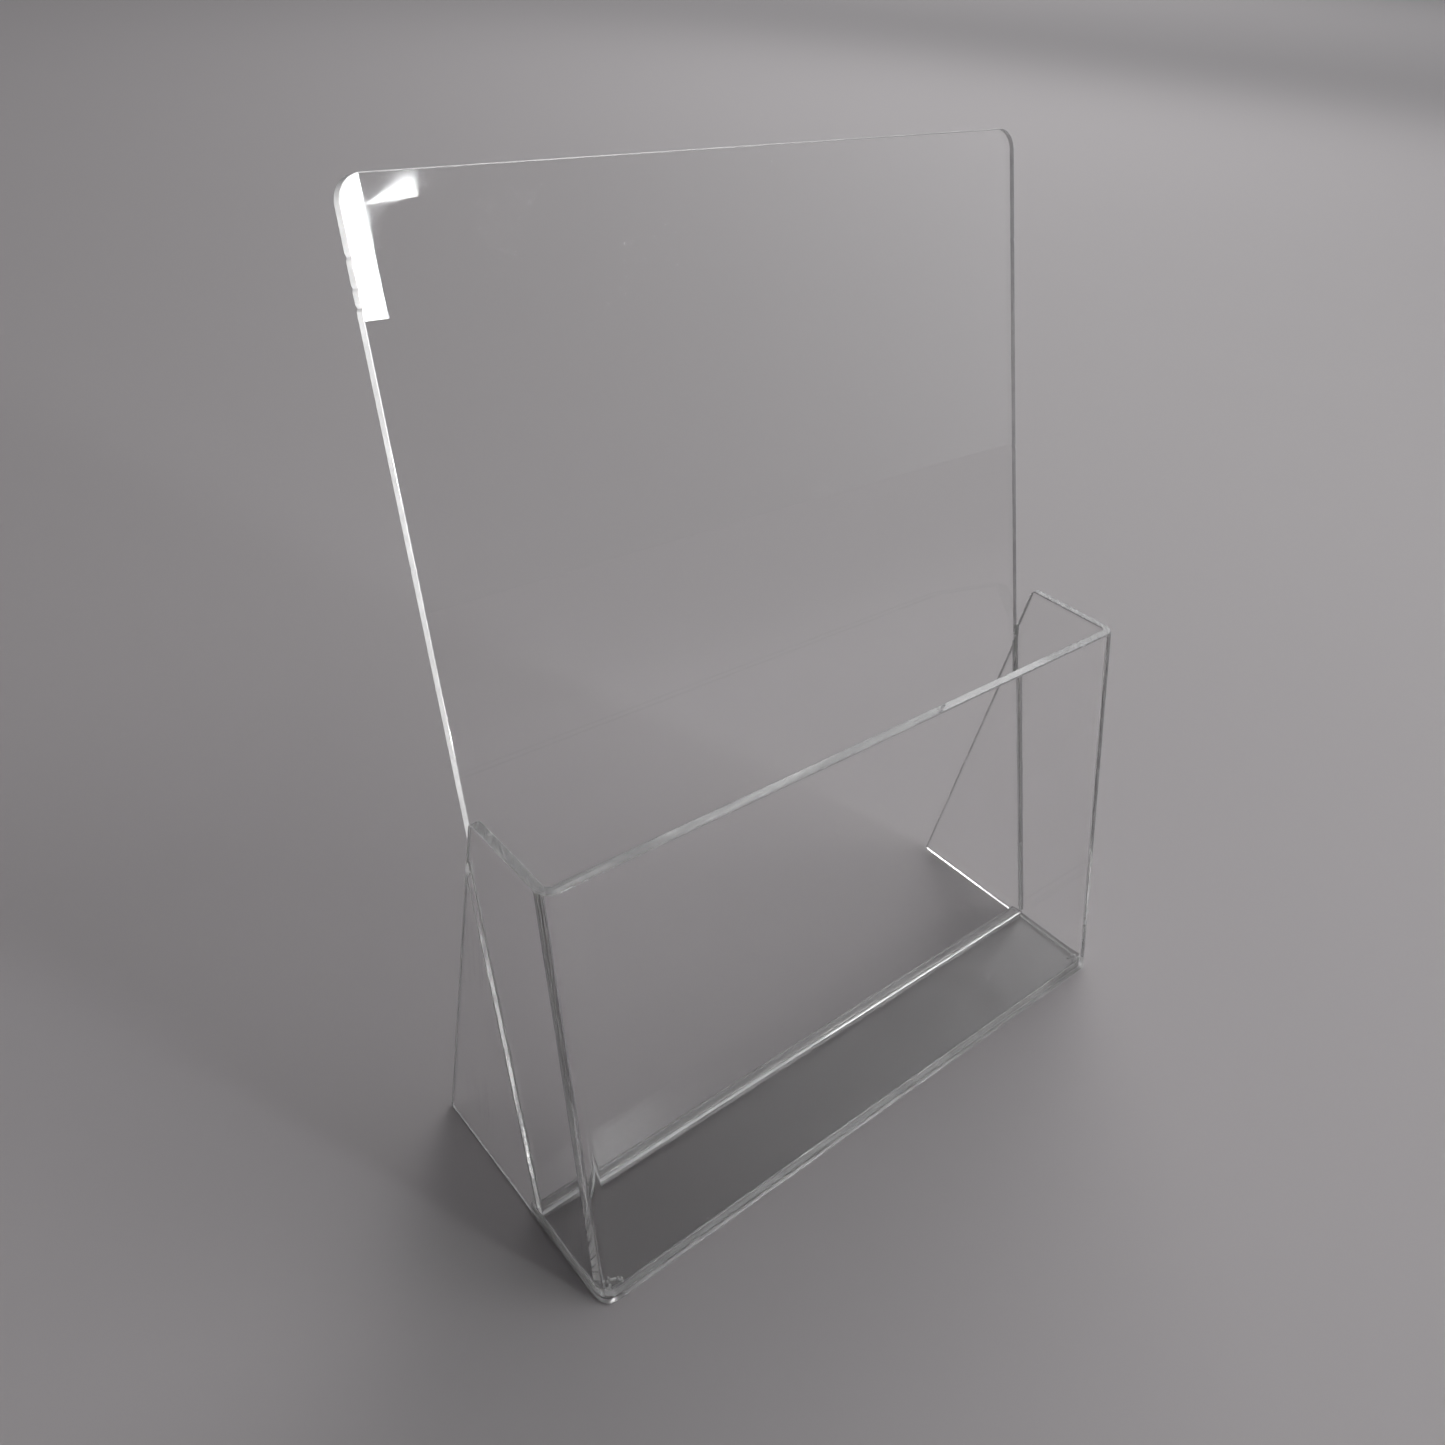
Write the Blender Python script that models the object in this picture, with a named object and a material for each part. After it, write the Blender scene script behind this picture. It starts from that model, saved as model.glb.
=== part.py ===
"""Free-standing magazine rack of clear acrylic sheet.

Three sheets make the rack. The pocket wrap is one sheet bent twice: its middle
is the leaning front of the pocket and its two ends run back as cheeks, which
are the pocket's sides and the rack's legs. The floor plate lies on the table
between the cheeks, and the back panel stands on it, leaning back between them.
All three are welded with solvent, so nothing moves.

Metres, +Z up, front towards -Y. The origin is on the table, under the middle
of the rack's bounding box.
"""

from math import cos, pi, radians, sin, tan

import bmesh
import bpy
from mathutils import Matrix, Vector

# Driving dimensions
WIDTH = 0.226            # across the outside of the two cheeks
SHEET = 0.003            # thickness of every sheet
WELD_GAP = 0.0003        # space kept between sheets that are welded together
BEND_RADIUS = 0.0015     # inside radius of the two heat bends
BEND_STEPS = 8           # flat facets around each bend

FRONT_LEAN = radians(12.5)
RIM_HEIGHT = 0.134       # level rim of the pocket
CHEEK_FOOT = 0.086       # length of a cheek's foot on the table
CHEEK_RIM_END = 0.0635   # how far back a cheek reaches at the rim

BACK_LEAN = radians(16.0)
BACK_LENGTH = 0.280      # along the leaning sheet
BACK_CORNER = 0.006      # radius of its two top corners
CORNER_STEPS = 8
BACK_FOOT = 0.035        # rear face of the back panel, carried down to the table

FLOOR_REAR = 0.0395      # rear edge of the floor plate
FLOOR_CORNER_CUT = 0.0018  # clears the inside of the bends

# Worked out from the driving dimensions, still measured from the front foot
CHEEK_INSIDE = WIDTH / 2 - SHEET
PANEL_HALF = CHEEK_INSIDE - WELD_GAP
FLOOR_TOP = SHEET
BACK_BASE_Z = FLOOR_TOP + WELD_GAP
BACK_BASE_Y = BACK_FOOT + BACK_BASE_Z * tan(BACK_LEAN)
BACK_TOP_Y = BACK_BASE_Y + BACK_LENGTH * sin(BACK_LEAN)
FRONT_INSIDE_Y = SHEET / cos(FRONT_LEAN) + FLOOR_TOP * tan(FRONT_LEAN)

# The front foot's place, so that the origin is under the middle of the rack
FRONT_Y = -BACK_TOP_Y / 2


def remove_everything():
    for existing in list(bpy.data.objects):
        bpy.data.objects.remove(existing, do_unlink=True)


def clear_acrylic(name, colour):
    """Colourless cast sheet with polished edges."""
    material = bpy.data.materials.new(name)
    material.use_nodes = True
    shader = material.node_tree.nodes["Principled BSDF"]
    shader.inputs["Base Color"].default_value = (*colour, 1.0)
    shader.inputs["Metallic"].default_value = 0.0
    shader.inputs["Roughness"].default_value = 0.03
    shader.inputs["IOR"].default_value = 1.49
    shader.inputs["Transmission Weight"].default_value = 1.0
    return material


def arc(centre, radius, start, end, steps):
    """Points of a circular arc, both ends included, in a flat 2-D outline."""
    points = []
    for step in range(steps + 1):
        angle = start + (end - start) * step / steps
        points.append((centre[0] + radius * cos(angle), centre[1] + radius * sin(angle)))
    return points


def extruded_outline(outline, depth):
    """A closed bmesh: the 2-D outline in the XY plane, pulled up along +Z by depth."""
    mesh = bmesh.new()
    corners = [mesh.verts.new((x, y, 0.0)) for x, y in outline]
    face = mesh.faces.new(corners)
    pulled = bmesh.ops.extrude_face_region(mesh, geom=[face])
    lifted = [item for item in pulled["geom"] if isinstance(item, bmesh.types.BMVert)]
    bmesh.ops.translate(mesh, verts=lifted, vec=(0.0, 0.0, depth))
    bmesh.ops.recalc_face_normals(mesh, faces=mesh.faces)
    return mesh


def trim(mesh, point, outward):
    """Cuts away everything on the outward side of a plane and closes the cut."""
    geometry = list(mesh.verts) + list(mesh.edges) + list(mesh.faces)
    cut = bmesh.ops.bisect_plane(
        mesh, geom=geometry, dist=1e-7, plane_co=point, plane_no=outward, clear_outer=True)
    rim = [item for item in cut["geom_cut"] if isinstance(item, bmesh.types.BMEdge)]
    bmesh.ops.edgeloop_fill(mesh, edges=rim)
    bmesh.ops.recalc_face_normals(mesh, faces=mesh.faces)


def finish_object(name, mesh, material, place):
    """Turns a bmesh into a named object, shaded smooth across its small facets."""
    data = bpy.data.meshes.new(name)
    mesh.to_mesh(data)
    mesh.free()
    data.shade_smooth()
    data.set_sharp_from_angle(angle=radians(30))
    data.materials.append(material)
    item = bpy.data.objects.new(name, data)
    item.matrix_world = place
    bpy.context.scene.collection.objects.link(item)
    return item


def pocket_wrap(material):
    """One sheet bent around the pocket: leaning front and two upright cheeks."""
    inner = BEND_RADIUS
    outer = BEND_RADIUS + SHEET
    half = WIDTH / 2
    reach = 2 * CHEEK_FOOT

    # Section square to the bend lines: x across the rack, y backwards
    left_bend = (-half + outer, outer)
    right_bend = (half - outer, outer)
    section = [(-half, reach)]
    section += arc(left_bend, outer, pi, 1.5 * pi, BEND_STEPS)
    section += arc(right_bend, outer, 1.5 * pi, 2 * pi, BEND_STEPS)
    section += [(half, reach), (CHEEK_INSIDE, reach)]
    section += arc(right_bend, inner, 2 * pi, 1.5 * pi, BEND_STEPS)
    section += arc(left_bend, inner, 1.5 * pi, pi, BEND_STEPS)
    section += [(-CHEEK_INSIDE, reach)]

    # The sheet is pulled along its leaning bend lines, with spare at both ends
    spare = reach
    mesh = extruded_outline(section, RIM_HEIGHT + 2 * spare)
    bmesh.ops.translate(mesh, verts=mesh.verts, vec=(0.0, 0.0, -spare))
    lean = Matrix.Rotation(-FRONT_LEAN, 4, "X")
    bmesh.ops.transform(mesh, matrix=lean, verts=mesh.verts)

    # Foot and rim are cut level, and the cheeks' rear edges rake forwards
    foot = Vector((0.0, 0.0, 0.0))
    rim = Vector((0.0, 0.0, RIM_HEIGHT))
    rear_foot = Vector((0.0, CHEEK_FOOT, 0.0))
    rear_normal = Vector((0.0, RIM_HEIGHT, CHEEK_FOOT - CHEEK_RIM_END)).normalized()
    trim(mesh, foot, Vector((0.0, 0.0, -1.0)))
    trim(mesh, rim, Vector((0.0, 0.0, 1.0)))
    trim(mesh, rear_foot, rear_normal)

    return finish_object("pocket_wrap", mesh, material, Matrix.Translation((0.0, FRONT_Y, 0.0)))


def back_panel(material):
    """Tall flat sheet, square at its foot and round at its two top corners."""
    top_bend_z = BACK_LENGTH - BACK_CORNER
    side = PANEL_HALF - BACK_CORNER
    outline = [(-PANEL_HALF, 0.0), (PANEL_HALF, 0.0)]
    outline += arc((side, top_bend_z), BACK_CORNER, 0.0, pi / 2, CORNER_STEPS)
    outline += arc((-side, top_bend_z), BACK_CORNER, pi / 2, pi, CORNER_STEPS)
    mesh = extruded_outline(outline, SHEET)

    # Stand the sheet up with its rear face in the XZ plane, then lean it back
    upright = Matrix.Rotation(pi / 2, 4, "X")
    lean = Matrix.Rotation(-BACK_LEAN, 4, "X")
    place = Matrix.Translation((0.0, FRONT_Y + BACK_BASE_Y, BACK_BASE_Z))
    return finish_object("back_panel", mesh, material, place @ lean @ upright)


def floor_plate(material):
    """Bottom of the pocket, between the cheeks and under the back panel."""
    front = FRONT_INSIDE_Y + WELD_GAP
    cut = FLOOR_CORNER_CUT
    outline = [
        (-PANEL_HALF + cut, front),
        (PANEL_HALF - cut, front),
        (PANEL_HALF, front + cut),
        (PANEL_HALF, FLOOR_REAR),
        (-PANEL_HALF, FLOOR_REAR),
        (-PANEL_HALF, front + cut),
    ]
    mesh = extruded_outline(outline, SHEET)
    return finish_object("floor_plate", mesh, material, Matrix.Translation((0.0, FRONT_Y, 0.0)))


def main():
    remove_everything()
    pocket_wrap(clear_acrylic("wrap_acrylic", (0.93, 0.95, 0.95)))
    back_panel(clear_acrylic("back_acrylic", (0.93, 0.95, 0.95)))
    floor_plate(clear_acrylic("floor_acrylic", (0.92, 0.94, 0.94)))


main()
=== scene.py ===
"""Looks of the clear acrylic magazine rack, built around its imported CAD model."""

from math import cos, exp, pi, radians, sin, tan
from random import Random

import bmesh
import bpy
from mathutils import Matrix, Vector


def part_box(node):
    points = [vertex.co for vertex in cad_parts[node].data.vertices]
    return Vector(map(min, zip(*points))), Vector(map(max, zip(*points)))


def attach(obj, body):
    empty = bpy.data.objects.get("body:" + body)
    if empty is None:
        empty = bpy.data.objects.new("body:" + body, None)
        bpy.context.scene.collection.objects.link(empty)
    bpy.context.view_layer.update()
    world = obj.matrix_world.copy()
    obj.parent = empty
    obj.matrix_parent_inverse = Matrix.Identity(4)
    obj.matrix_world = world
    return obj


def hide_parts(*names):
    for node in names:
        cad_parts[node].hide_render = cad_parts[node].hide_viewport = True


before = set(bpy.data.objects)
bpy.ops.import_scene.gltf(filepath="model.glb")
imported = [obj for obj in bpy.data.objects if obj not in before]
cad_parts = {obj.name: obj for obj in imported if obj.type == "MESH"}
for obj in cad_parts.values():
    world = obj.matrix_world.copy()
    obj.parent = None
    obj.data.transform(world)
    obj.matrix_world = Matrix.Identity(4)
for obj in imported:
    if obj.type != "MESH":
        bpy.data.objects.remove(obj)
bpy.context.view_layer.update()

# ---------------------------------------------------------------- dimensions
# Metres, in the frame of the CAD: front towards -Y, table at Z = 0.
WRAP_LOW, WRAP_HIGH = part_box("pocket_wrap")
BACK_LOW, BACK_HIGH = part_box("back_panel")
PLATE_LOW, PLATE_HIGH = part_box("floor_plate")

SHEET = PLATE_HIGH.z - PLATE_LOW.z
HALF_WIDTH = WRAP_HIGH.x
CHEEK_INSIDE = HALF_WIDTH - SHEET
FRONT_Y = WRAP_LOW.y
RIM_HEIGHT = WRAP_HIGH.z
CHEEK_FOOT = WRAP_HIGH.y - WRAP_LOW.y
CHEEK_RIM_END = 0.0635
FRONT_LEAN = radians(12.5)
BACK_LEAN = radians(16.0)
BACK_LENGTH = 0.280
BACK_CORNER = 0.006
BEND_INNER = 0.0015
BEND_STEPS = 16
CORNER_STEPS = 12
PLATE_CORNER = 0.0018     # cut off the floor plate's front corners, to clear the bends

POLISH = 0.00032          # round left on an edge by flame polishing
RIM_CORNER = 0.0016       # the cheeks' upper rear corners, softened by the flame
FOOT_CORNER = 0.0007      # the cheeks' lower rear corners
EDGE_ANGLE = radians(25)  # edges that turn by more than this are rounded

NICK_REACH = 0.0011       # half the length of a nick in the back panel's sides
NICK_STEPS = 6            # points on each half of a nick
NICK_FADE = 2.2           # how fast a nick fades towards its ends

# Height up the sheet and depth of every nick.
LEFT_NICKS = ((0.2640, 0.00030), (0.2577, 0.00022), (0.2537, 0.00034), (0.1960, 0.00014))
RIGHT_NICKS = ((0.2480, 0.00016), (0.1830, 0.00022))

WETTING = 0.00004         # how far cement bites into a sheet
SEAM = 0.0006             # usual leg of a cement fillet
SEAM_STEP = 0.002         # length of fillet between two cross sections
SEAM_TAPER = 0.004        # length over which a fillet thins towards its ends
POOL_LENGTH = 0.0022      # how far a pool spreads along its fillet
SEAM_WAVER = 0.3          # how far a fillet's legs wander, against their usual size
SEAM_HOLLOW = 0.2         # how full a fillet's hollow face is, against its legs
SEAM_SIDES = 5            # facets across that face
DROP_ROUGHNESS = 0.07     # how far out of round a drop is, against its radius
RUN_SIZE = 0.0012         # the run of cement where the back panel leaves a cheek
RUN_SHAPE = (0.9, 1.0, 2.1)
RUN_BUBBLES = 3
POOL_BUBBLES = 16         # bubbles in each of the pocket's lower front corners

CLEAR = 0                 # material slots of every sheet
CUT_EDGE = 1

# Directions of the leaning sheets: up along each, and out of the back panel's front face.
FRONT_UP = Vector((0.0, sin(FRONT_LEAN), cos(FRONT_LEAN)))
BACK_UP = Vector((0.0, sin(BACK_LEAN), cos(BACK_LEAN)))
BACK_OUT = Vector((0.0, -cos(BACK_LEAN), sin(BACK_LEAN)))
BACK_FOOT = Vector((0.0, BACK_HIGH.y - BACK_LENGTH * sin(BACK_LEAN), BACK_LOW.z))
REAR_FOOT = Vector((0.0, FRONT_Y + CHEEK_FOOT, 0.0))
REAR_SLOPE = (CHEEK_FOOT - CHEEK_RIM_END) / RIM_HEIGHT
UP = Vector((0.0, 0.0, 1.0))
ACROSS = Vector((1.0, 0.0, 0.0))
BACKWARD = Vector((0.0, 1.0, 0.0))


# ------------------------------------------------------------------- helpers
def arc(centre, radius, start, end, steps):
    """Points of a circular arc, both ends included."""
    return [(centre[0] + radius * cos(start + (end - start) * i / steps),
             centre[1] + radius * sin(start + (end - start) * i / steps))
            for i in range(steps + 1)]


def extruded_outline(outline, depth):
    """A solid with a flat outline in X and Y, pulled up along Z."""
    mesh = bmesh.new()
    corners = [mesh.verts.new((x, y, 0.0)) for x, y in outline]
    face = mesh.faces.new(corners)
    pulled = bmesh.ops.extrude_face_region(mesh, geom=[face])
    lifted = [item for item in pulled["geom"] if isinstance(item, bmesh.types.BMVert)]
    bmesh.ops.translate(mesh, verts=lifted, vec=(0.0, 0.0, depth))
    bmesh.ops.recalc_face_normals(mesh, faces=mesh.faces)
    return mesh


def trim(mesh, point, outward):
    """Saws off what lies beyond a plane and closes the cut."""
    geometry = list(mesh.verts) + list(mesh.edges) + list(mesh.faces)
    cut = bmesh.ops.bisect_plane(
        mesh, geom=geometry, dist=1e-7, plane_co=point, plane_no=outward, clear_outer=True)
    rim = [item for item in cut["geom_cut"] if isinstance(item, bmesh.types.BMEdge)]
    bmesh.ops.edgeloop_fill(mesh, edges=rim)
    bmesh.ops.recalc_face_normals(mesh, faces=mesh.faces)


def mark_cut_edges(mesh, is_edge):
    """Gives each face the material of a cut edge or of the clear sheet."""
    mesh.normal_update()
    for face in mesh.faces:
        face.material_index = CUT_EDGE if is_edge(face) else CLEAR


def piece(name, mesh, materials, node=None):
    """Turns a mesh into a named piece that rides on the rack, in place of a CAD node if given."""
    data = bpy.data.meshes.new(name)
    mesh.to_mesh(data)
    mesh.free()
    for material in materials:
        data.materials.append(material)
    data.shade_smooth()
    data.set_sharp_from_angle(angle=EDGE_ANGLE)
    item = bpy.data.objects.new(name, data)
    bpy.context.scene.collection.objects.link(item)
    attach(item, "root")
    if node:
        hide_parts(node)
    return item


def polish(item):
    """Rounds every cut edge of a sheet, and keeps the sheet's faces optically flat."""
    bevel = item.modifiers.new("polish", "BEVEL")
    bevel.limit_method = "ANGLE"
    bevel.angle_limit = EDGE_ANGLE
    bevel.width = POLISH
    bevel.segments = 3
    bevel.material = CUT_EDGE
    bevel.use_clamp_overlap = True
    flat = item.modifiers.new("flat_faces", "WEIGHTED_NORMAL")
    flat.mode = "FACE_AREA"
    flat.weight = 100
    flat.keep_sharp = True


# ----------------------------------------------------------------- materials
def node(tree, kind, inputs=None, **settings):
    """Adds a shader node; an input is a plain value or another node's output."""
    item = tree.nodes.new(kind)
    for name, value in settings.items():
        setattr(item, name, value)
    for name, value in (inputs or {}).items():
        if isinstance(value, bpy.types.NodeSocket):
            tree.links.new(value, item.inputs[name])
        else:
            item.inputs[name].default_value = value
    return item


def noise(tree, place, scale, detail, stretch=(1.0, 1.0, 1.0), turn=0.0):
    """Noise in metres: scale is in cells per metre, stretch squeezes it along X, Y and Z."""
    lie = node(tree, "ShaderNodeMapping", {
        "Vector": place, "Rotation": (turn, 0.0, 0.0), "Scale": stretch})
    return node(tree, "ShaderNodeTexNoise", {
        "Vector": lie.outputs["Vector"], "Scale": scale, "Detail": detail}).outputs["Fac"]


def remap(tree, value, low, high, out_low, out_high):
    """Stretches the range from low to high to the range from out_low to out_high."""
    return node(tree, "ShaderNodeMapRange", {
        "Value": value, "From Min": low, "From Max": high,
        "To Min": out_low, "To Max": out_high}).outputs["Result"]


def maths(tree, operation, first, second):
    return node(tree, "ShaderNodeMath", {0: first, 1: second}, operation=operation).outputs["Value"]


def hairlines(tree, place, scale, width, stretch, turn):
    """Thin wandering lines in patches, along the direction that stretch squeezes least: 1 on
    a line, 0 beside it."""
    field = noise(tree, place, scale, 1.0, stretch, turn)
    off_line = node(tree, "ShaderNodeMath", {0: maths(tree, "SUBTRACT", field, 0.5)},
                    operation="ABSOLUTE").outputs["Value"]
    line = remap(tree, off_line, 0.0, width, 1.0, 0.0)
    patches = remap(tree, noise(tree, place, 34.0, 3.0), 0.56, 0.66, 0.0, 1.0)
    return maths(tree, "MULTIPLY", line, patches)


def clear_acrylic(name):
    """A bare clear material and what its nodes need: tree, shader and place in metres."""
    material = bpy.data.materials.new(name)
    material.use_nodes = True
    tree = material.node_tree
    shader = tree.nodes["Principled BSDF"]
    shader.inputs["IOR"].default_value = 1.49
    absorption = node(tree, "ShaderNodeVolumeAbsorption")
    absorption.inputs["Color"].default_value = (0.89, 0.885, 0.88, 1.0)
    absorption.inputs["Density"].default_value = 1.0
    tree.links.new(absorption.outputs["Volume"], tree.nodes["Material Output"].inputs["Volume"])
    place = node(tree, "ShaderNodeTexCoord").outputs["Object"]
    return material, tree, shader, place


def face_material(name, lean, rub, haze=0.0):
    """The faces of cast sheet: faint waviness, smudges from hands, and hairline scratches
    that run up and down the sheet, where magazines slide in and out. Haze is overall wear."""
    material, tree, shader, place = clear_acrylic(name)
    shader.inputs["Base Color"].default_value = (0.992, 0.991, 0.99, 1.0)
    shader.inputs["Transmission Weight"].default_value = 1.0
    smudge = remap(tree, noise(tree, place, 42.0, 4.0), 0.54, 0.74, haze, haze + 0.085)
    scratch = hairlines(tree, place, 90.0, 0.003, (7.0, 7.0, 0.05), lean)
    dulled = maths(tree, "MULTIPLY", scratch, rub)
    rough = maths(tree, "ADD", smudge, dulled)
    tree.links.new(rough, shader.inputs["Roughness"])
    wave = node(tree, "ShaderNodeBump", {
        "Height": noise(tree, place, 14.0, 1.0), "Distance": 0.00003, "Strength": 1.0})
    groove = node(tree, "ShaderNodeBump", {
        "Height": scratch, "Distance": 0.000006, "Strength": 1.0, "Normal": wave.outputs["Normal"]},
        invert=True)
    tree.links.new(groove.outputs["Normal"], shader.inputs["Normal"])
    return material


def edge_material(name, clearness, dullness, ripple_depth):
    """Sawn edges after flame polishing: ripples left by the blade, melted nearly smooth,
    and never quite as clear as a face."""
    material, tree, shader, place = clear_acrylic(name)
    shader.inputs["Transmission Weight"].default_value = clearness
    long_ripple = noise(tree, place, 260.0, 1.0)
    fine_ripple = noise(tree, place, 900.0, 2.0)
    ripple = maths(tree, "ADD", long_ripple, maths(tree, "MULTIPLY", fine_ripple, 0.25))
    dull = remap(tree, fine_ripple, 0.4, 0.75, 0.3 * dullness, dullness)
    tree.links.new(dull, shader.inputs["Roughness"])
    whiteness = remap(tree, long_ripple, 0.35, 0.7, 0.86, 1.0)
    tone = node(tree, "ShaderNodeCombineColor", {
        "Red": whiteness, "Green": whiteness, "Blue": whiteness})
    tree.links.new(tone.outputs["Color"], shader.inputs["Base Color"])
    bump = node(tree, "ShaderNodeBump", {"Height": ripple, "Distance": ripple_depth, "Strength": 1.0})
    tree.links.new(bump.outputs["Normal"], shader.inputs["Normal"])
    return material


def cement_material(name, clearness):
    """Dried solvent cement: clear, a little cloudy, with pinholes and a rippled skin."""
    material, tree, shader, place = clear_acrylic(name)
    shader.inputs["Transmission Weight"].default_value = clearness
    shader.inputs["Base Color"].default_value = (0.97, 0.97, 0.96, 1.0)
    cloud = noise(tree, place, 500.0, 3.0)
    tree.links.new(remap(tree, cloud, 0.4, 0.7, 0.02, 0.22), shader.inputs["Roughness"])
    pinholes = node(tree, "ShaderNodeTexVoronoi", {"Vector": place, "Scale": 1400.0})
    skin = maths(tree, "ADD", cloud, maths(tree, "MULTIPLY", pinholes.outputs["Distance"], 0.3))
    bump = node(tree, "ShaderNodeBump", {"Height": skin, "Distance": 0.00006, "Strength": 1.0})
    tree.links.new(bump.outputs["Normal"], shader.inputs["Normal"])
    return material


def floor_material():
    """A pale grey tabletop with hardly any shine."""
    material = bpy.data.materials.new("pale_floor")
    material.use_nodes = True
    shader = material.node_tree.nodes["Principled BSDF"]
    shader.inputs["Base Color"].default_value = (0.46, 0.435, 0.44, 1.0)
    shader.inputs["Roughness"].default_value = 0.65
    shader.inputs["Specular IOR Level"].default_value = 0.25
    return material


# -------------------------------------------------------------------- sheets
def pocket_wrap(materials):
    """The sheet bent around the pocket: its section is bent first, leaned back, then sawn."""
    inner = BEND_INNER
    outer = BEND_INNER + SHEET
    reach = 2 * CHEEK_FOOT
    left = (-HALF_WIDTH + outer, outer)
    right = (HALF_WIDTH - outer, outer)
    section = [(-HALF_WIDTH, reach)]
    section += arc(left, outer, pi, 1.5 * pi, BEND_STEPS)
    section += arc(right, outer, 1.5 * pi, 2 * pi, BEND_STEPS)
    section += [(HALF_WIDTH, reach), (CHEEK_INSIDE, reach)]
    section += arc(right, inner, 2 * pi, 1.5 * pi, BEND_STEPS)
    section += arc(left, inner, 1.5 * pi, pi, BEND_STEPS)
    section += [(-CHEEK_INSIDE, reach)]
    mesh = extruded_outline(section, RIM_HEIGHT + 2 * reach)
    bmesh.ops.translate(mesh, verts=mesh.verts, vec=(0.0, 0.0, -reach))
    place = Matrix.Translation((0.0, FRONT_Y, 0.0)) @ Matrix.Rotation(-FRONT_LEAN, 4, "X")
    bmesh.ops.transform(mesh, matrix=place, verts=mesh.verts)
    trim(mesh, Vector((0.0, 0.0, 0.0)), -UP)
    trim(mesh, Vector((0.0, 0.0, RIM_HEIGHT)), UP)
    trim(mesh, REAR_FOOT, Vector((0.0, 1.0, REAR_SLOPE)).normalized())
    round_rear_corner(mesh, RIM_HEIGHT, RIM_CORNER)
    round_rear_corner(mesh, 0.0, FOOT_CORNER)
    mark_cut_edges(mesh, lambda face: abs(face.normal.dot(FRONT_UP)) > 0.1)
    item = piece("pocket_wrap_sheet", mesh, materials, "pocket_wrap")
    polish(item)


def round_rear_corner(mesh, height, radius):
    """Rounds the corner at the back of both cheeks at one height."""
    corners = []
    for edge in mesh.edges:
        first, second = (vert.co for vert in edge.verts)
        across = abs(first.x - second.x) > 0.9 * SHEET and edge.calc_length() < 1.1 * SHEET
        level = abs(first.z - height) < 1e-5 and abs(second.z - height) < 1e-5
        if across and level and first.y > FRONT_Y + CHEEK_FOOT / 2:
            corners.append(edge)
    bmesh.ops.bevel(mesh, geom=corners, offset=radius, segments=6, profile=0.5, affect="EDGES")


def nicked_side(nicks, side, low, high):
    """Points up one side of the back panel, with shallow nicks at heights up the sheet."""
    points = [(side, low), (side, back_leaves_cheek(SHEET / 2))]
    for height, depth in sorted(nicks):
        for i in range(-NICK_STEPS, NICK_STEPS + 1):
            share = i / NICK_STEPS
            hollow = depth * exp(-(NICK_FADE * share) ** 2)
            points.append((side - hollow * (1 if side > 0 else -1), height + share * NICK_REACH))
    return points + [(side, high)]


def is_welded(face):
    """Whether a side face of the back panel is cemented to a cheek, which makes it clear."""
    up_sheet = (face.calc_center_median() - BACK_FOOT).dot(BACK_UP)
    return abs(face.normal.x) > 0.9 and up_sheet < back_leaves_cheek(SHEET / 2)


def back_panel(materials):
    """The tall sheet that leans back between the cheeks and stands on the floor plate."""
    half = CHEEK_INSIDE + WETTING
    foot = SHEET - BACK_LOW.z - WETTING
    top = BACK_LENGTH - BACK_CORNER
    below_top = top - 0.001
    side = half - BACK_CORNER
    outline = [(-half, foot)]
    outline += nicked_side(RIGHT_NICKS, half, foot, below_top)
    outline += arc((side, top), BACK_CORNER, 0.0, pi / 2, CORNER_STEPS)
    outline += arc((-side, top), BACK_CORNER, pi / 2, pi, CORNER_STEPS)
    outline += reversed(nicked_side(LEFT_NICKS, -half, foot, below_top)[1:])
    mesh = extruded_outline(outline, SHEET)
    place = Matrix.Translation(BACK_FOOT)
    place = place @ Matrix.Rotation(-BACK_LEAN, 4, "X") @ Matrix.Rotation(pi / 2, 4, "X")
    bmesh.ops.transform(mesh, matrix=place, verts=mesh.verts)
    mark_cut_edges(mesh, lambda face: abs(face.normal.dot(BACK_OUT)) < 0.9 and not is_welded(face))
    item = piece("back_panel_sheet", mesh, materials, "back_panel")
    polish(item)


def front_inside(height):
    """Y of the front's inner face at a height."""
    return FRONT_Y + SHEET / cos(FRONT_LEAN) + height * tan(FRONT_LEAN)


def floor_plate(materials):
    """The bottom of the pocket, on the table between the cheeks."""
    half = CHEEK_INSIDE + WETTING
    cut = half - PLATE_CORNER
    front = front_inside(SHEET) - WETTING
    cut_end = front + PLATE_CORNER
    rear = PLATE_HIGH.y
    outline = [(-cut, front), (cut, front), (half, cut_end), (half, rear), (-half, rear), (-half, cut_end)]
    mesh = extruded_outline(outline, SHEET)
    # The front edge is sawn at the lean of the front, so its lower side reaches further.
    for vert in mesh.verts:
        if vert.co.z < SHEET / 2 and vert.co.y < front + 2 * PLATE_CORNER:
            vert.co.y -= SHEET * tan(FRONT_LEAN)
    mark_cut_edges(mesh, lambda face: abs(face.normal.z) < 0.7)
    item = piece("floor_plate_sheet", mesh, materials, "floor_plate")
    polish(item)


# -------------------------------------------------------------------- cement
def on_back(across, up_sheet, face_depth):
    """A point of the back panel: 0 deep is its rear face, SHEET deep is its front face."""
    return BACK_FOOT + ACROSS * across + BACK_UP * up_sheet + BACK_OUT * face_depth


def back_leaves_cheek(face_depth):
    """How far up the back panel one of its faces passes out through the cheeks' rear edge."""
    clear = REAR_FOOT.y - BACK_FOOT.y - REAR_SLOPE * BACK_FOOT.z
    drift = face_depth * (BACK_OUT.y + REAR_SLOPE * BACK_OUT.z)
    return (clear - drift) / (BACK_UP.y + REAR_SLOPE * BACK_UP.z)


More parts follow.
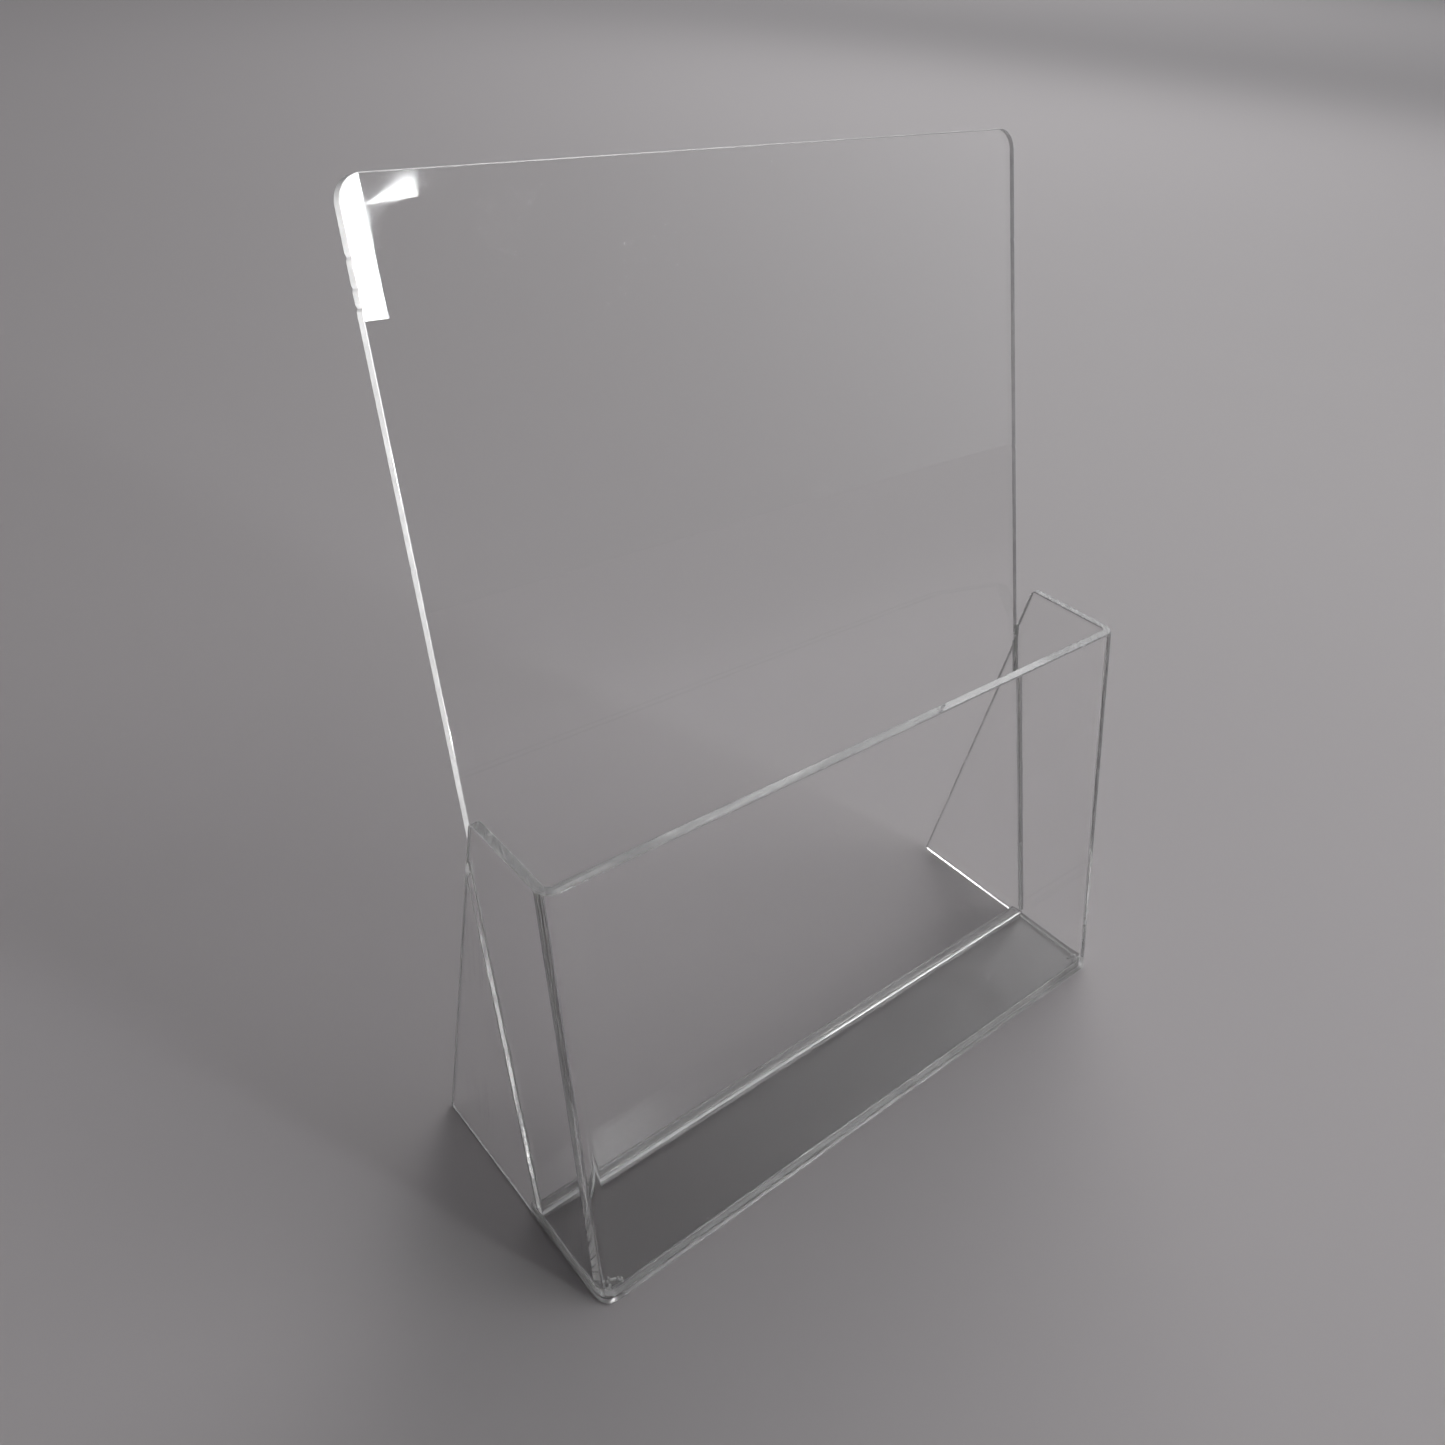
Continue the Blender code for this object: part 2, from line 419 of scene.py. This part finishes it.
def fillet(mesh, start, end, along_a, along_b, pools, draw):
    """A bead of cement in the corner between two faces. It starts and ends thin, or in a
    pool, whose size is given for each end, and its legs wander along its length."""
    length = (end - start).length
    stations = max(6, round(length / SEAM_STEP))
    rings = []
    waver = 0.0
    for i in range(stations + 1):
        along = length * i / stations
        waver += (draw.uniform(-SEAM_WAVER, SEAM_WAVER) - waver) * 0.5
        leg = SEAM * (1.0 + waver)
        leg *= min(1.0, 0.3 + along / SEAM_TAPER, 0.3 + (length - along) / SEAM_TAPER)
        leg += pools[0] * exp(-(along / POOL_LENGTH) ** 2)
        leg += pools[1] * exp(-((length - along) / POOL_LENGTH) ** 2)
        corner = start.lerp(end, i / stations)
        root = corner - (along_a + along_b) * WETTING
        first = root + along_a * (leg + WETTING)
        last = root + along_b * (leg + WETTING)
        middle = corner + (along_a + along_b) * SEAM_HOLLOW * leg
        ring = [root]
        for step in range(SEAM_SIDES + 1):
            t = step / SEAM_SIDES
            ring.append(first * (1 - t) ** 2 + middle * 2 * t * (1 - t) + last * t ** 2)
        rings.append([mesh.verts.new(point) for point in ring])
    for near, far in zip(rings, rings[1:]):
        for j in range(len(near)):
            k = (j + 1) % len(near)
            mesh.faces.new((near[j], near[k], far[k], far[j]))
    mesh.faces.new(reversed(rings[0]))
    mesh.faces.new(rings[-1])
    bmesh.ops.recalc_face_normals(mesh, faces=mesh.faces)


def drop(mesh, centre, size, squash, draw):
    """A dried drop or a bubble of cement, out of round by a little."""
    made = bmesh.ops.create_icosphere(mesh, subdivisions=3, radius=1.0)
    swell = [Vector([draw.uniform(-1.0, 1.0) for _ in range(3)]).normalized() for _ in range(3)]
    for vert in made["verts"]:
        out = vert.co.normalized()
        bulge = 1.0 + sum(DROP_ROUGHNESS * out.dot(axis) ** 3 for axis in swell)
        vert.co = centre + Vector([out[i] * size * squash[i] * bulge for i in range(3)])


def welds(material):
    """Beads where the sheets are cemented together."""
    draw = Random(31)
    front_corner = front_inside(SHEET)
    thin = (0.0, 0.0)
    for side, name in ((-1, "left"), (1, "right")):
        inward = ACROSS * -side
        wall = side * CHEEK_INSIDE
        mesh = bmesh.new()
        front_top = on_back(wall, back_leaves_cheek(SHEET), SHEET)
        rear_top = on_back(wall, back_leaves_cheek(0.0), 0.0)
        fillet(mesh, on_back(wall, 0.001, SHEET), front_top, BACK_OUT, inward, (0.0003, 0.0008), draw)
        fillet(mesh, on_back(wall, 0.0, 0.0), rear_top, -BACK_OUT, inward, (0.0, 0.0004), draw)
        piece(f"weld_back_{name}", mesh, [material])

        mesh = bmesh.new()
        pool_corner = Vector((wall, front_corner + BEND_INNER, SHEET))
        fillet(mesh, pool_corner, Vector((wall, PLATE_HIGH.y, SHEET)), inward, UP, (0.0009, 0.0), draw)
        piece(f"weld_floor_{name}", mesh, [material])

    end = CHEEK_INSIDE - BEND_INNER
    mesh = bmesh.new()
    fillet(mesh, Vector((-end, front_corner, SHEET)), Vector((end, front_corner, SHEET)),
           BACKWARD, FRONT_UP, (0.0010, 0.0010), draw)
    piece("weld_floor_front", mesh, [material])

    mesh = bmesh.new()
    reach = CHEEK_INSIDE - 0.0003
    step = BACK_FOOT.y - SHEET * cos(BACK_LEAN)
    fillet(mesh, Vector((-reach, step, SHEET)), Vector((reach, step, SHEET)), -BACKWARD, BACK_UP, thin, draw)
    fillet(mesh, Vector((-reach, BACK_FOOT.y, SHEET)), Vector((reach, BACK_FOOT.y, SHEET)),
           BACKWARD, BACK_UP, thin, draw)
    piece("weld_back_foot", mesh, [material])


def drops(material):
    """Cement that ran out at the ends of the joints and dried there, with its bubbles."""
    draw = Random(7)
    for side, name in ((-1, "left"), (1, "right")):
        mesh = bmesh.new()
        wall = side * CHEEK_INSIDE
        run = on_back(wall, back_leaves_cheek(SHEET / 2), SHEET / 2)
        drop(mesh, run + ACROSS * side * 0.0009 + UP * 0.0008, RUN_SIZE, RUN_SHAPE, draw)
        for _ in range(RUN_BUBBLES):
            jitter = Vector([draw.uniform(-0.0006, 0.0006) for _ in range(3)])
            centre = run + jitter - ACROSS * side * 0.0006
            drop(mesh, centre, draw.uniform(0.00025, 0.00045), (1, 1, 1), draw)
        piece(f"cement_run_{name}", mesh, [material])

        mesh = bmesh.new()
        pool = Vector((side * (CHEEK_INSIDE - 0.0011), front_inside(SHEET) + 0.0011, SHEET))
        for _ in range(POOL_BUBBLES):
            inwards = draw.uniform(-0.0011, 0.0042)
            jitter = Vector((-side * inwards, draw.uniform(-0.0010, 0.0022), draw.uniform(0.0, 0.0010)))
            drop(mesh, pool + jitter, draw.uniform(0.0003, 0.0006), (1, 1, 0.8), draw)
        piece(f"cement_bubbles_{name}", mesh, [material])


# --------------------------------------------------------------------- stage
def camera_pose(azimuth, elevation, roll):
    """Camera axes: azimuth 0 looks along +Y, elevation is above the rack, roll turns the picture."""
    a, e = azimuth, elevation
    forward = -Vector((sin(a) * cos(e), -cos(a) * cos(e), sin(e)))
    right = forward.cross(UP).normalized()
    down = forward.cross(right)
    turned_right = right * cos(roll) + down * sin(roll)
    turned_down = -right * sin(roll) + down * cos(roll)
    return Matrix((turned_right, -turned_down, -forward)).transposed().to_4x4()


def add_camera():
    data = bpy.data.cameras.new("camera")
    data.lens = 29.97
    data.shift_x = -0.0039
    data.shift_y = 0.0054
    data.clip_start = 0.01
    item = bpy.data.objects.new("camera", data)
    axes = camera_pose(radians(-43.07), radians(35.3), radians(-5.59))
    item.matrix_world = Matrix.Translation((-0.22208, -0.20029, 0.32938)) @ axes
    bpy.context.scene.collection.objects.link(item)
    bpy.context.scene.camera = item


def toward(azimuth, elevation, distance):
    """A point seen from the rack at an azimuth from the front (-Y) towards +X, and an elevation."""
    a, e = radians(azimuth), radians(elevation)
    return distance * Vector((sin(a) * cos(e), -cos(a) * cos(e), sin(e)))


def aim_light(data, place, target):
    """Hangs a light at a place and points it at a target."""
    item = bpy.data.objects.new(data.name, data)
    item.location = place
    item.rotation_euler = (Vector(target) - Vector(place)).to_track_quat("-Z", "Y").to_euler()
    bpy.context.scene.collection.objects.link(item)


def area_light(name, place, target, size, power):
    """A broad soft light."""
    data = bpy.data.lights.new(name, "AREA")
    data.shape = "RECTANGLE"
    data.size, data.size_y = size
    data.energy = power
    aim_light(data, place, target)


def edge_light(name, place, target, cone, power):
    """A narrow light on an edge of the back panel, tilted up so that it misses the floor."""
    data = bpy.data.lights.new(name, "SPOT")
    data.energy = power
    data.spot_size = cone
    data.spot_blend = 0.6
    data.shadow_soft_size = 0.06
    aim_light(data, place, target)


def stage_mesh(name, faces, material):
    """A flat part of the studio; every face is a list of corners."""
    mesh = bmesh.new()
    for corners in faces:
        mesh.faces.new([mesh.verts.new(corner) for corner in corners])
    data = bpy.data.meshes.new(name)
    mesh.to_mesh(data)
    mesh.free()
    data.materials.append(material)
    item = bpy.data.objects.new(name, data)
    bpy.context.scene.collection.objects.link(item)


def glow_material(name, strength):
    """A cool white surface that gives light."""
    material = bpy.data.materials.new(name)
    material.use_nodes = True
    tree = material.node_tree
    glow = node(tree, "ShaderNodeEmission", {"Color": (0.96, 0.99, 1.0, 1.0), "Strength": strength})
    tree.links.new(glow.outputs["Emission"], tree.nodes["Material Output"].inputs["Surface"])
    return material


def stage():
    # The floor lies a hair below the rack, so that their faces don't coincide.
    reach = 12.0
    level = -0.0002
    floor = [(-reach, -reach, level), (reach, -reach, level), (reach, reach, level), (-reach, reach, level)]
    stage_mesh("floor", [floor], floor_material())

    # A tall light box and a wedge of light beside it, which the back panel mirrors.
    wall = -1.35
    box = [(0.40, wall, 0.571), (0.545, wall, 0.571), (0.579, wall, 0.87), (0.40, wall, 0.87)]
    wedge = [(0.562, wall, 0.728), (0.646, wall, 0.733), (0.650, wall, 0.767)]
    stage_mesh("light_box", [box, wedge], glow_material("bright_light", 30.0))

    area_light("key", toward(46, 46, 1.6), (0.1, 0.05, 0.0), (0.8, 0.7), 5)
    area_light("overhead", (1.9, 1.3, 1.6), (0.7, 0.6, 0), (2.0, 2.0), 15)
    area_light("far", (5.5, 5.0, 5.0), (5.5, 5.0, 0), (4.0, 4.0), 100)
    edge_light("side_edge_light", (-1.3, -0.06, 0.03), (-0.11, 0.04, 0.21), radians(16), 115)
    edge_light("top_edge_light", (-0.35, -1.25, 0.05), (-0.08, 0.08, 0.27), radians(10), 170)

    # The surroundings are dim, and brighter towards the rack's right.
    world = bpy.data.worlds.new("world")
    world.use_nodes = True
    tree = world.node_tree
    look = node(tree, "ShaderNodeTexCoord").outputs["Generated"]
    side = node(tree, "ShaderNodeVectorMath", {0: look, 1: (0.95, 0.25, 0.2)}, operation="DOT_PRODUCT")
    glow = node(tree, "ShaderNodeMapRange", {
        "Value": side.outputs["Value"], "From Min": 0.35, "From Max": 1.0, "To Min": 0.09, "To Max": 1.1},
        interpolation_type="SMOOTHSTEP").outputs["Result"]
    tree.nodes["Background"].inputs["Color"].default_value = (0.97, 0.97, 1.0, 1.0)
    tree.links.new(glow, tree.nodes["Background"].inputs["Strength"])
    bpy.context.scene.world = world


def set_colours_and_bounces():
    """Plain colours, and enough bounces for light that runs along inside a sheet."""
    bpy.context.scene.view_settings.view_transform = "Standard"
    cycles = bpy.context.scene.cycles
    cycles.max_bounces = 64
    cycles.glossy_bounces = 64
    cycles.transmission_bounces = 64


add_camera()
stage()
set_colours_and_bounces()
rim_edge = edge_material("rim_edge", 0.82, 0.1, 0.000004)
back_edge = edge_material("back_edge", 0.6, 0.08, 0.00002)
pocket_wrap([face_material("wrap_face", FRONT_LEAN, 0.10), rim_edge])
back_panel([face_material("back_face", BACK_LEAN, 0.16), back_edge])
floor_plate([face_material("floor_face", 0.0, 0.2, haze=0.2), rim_edge])
welds(cement_material("weld_cement", 0.68))
drops(cement_material("cloudy_cement", 0.15))
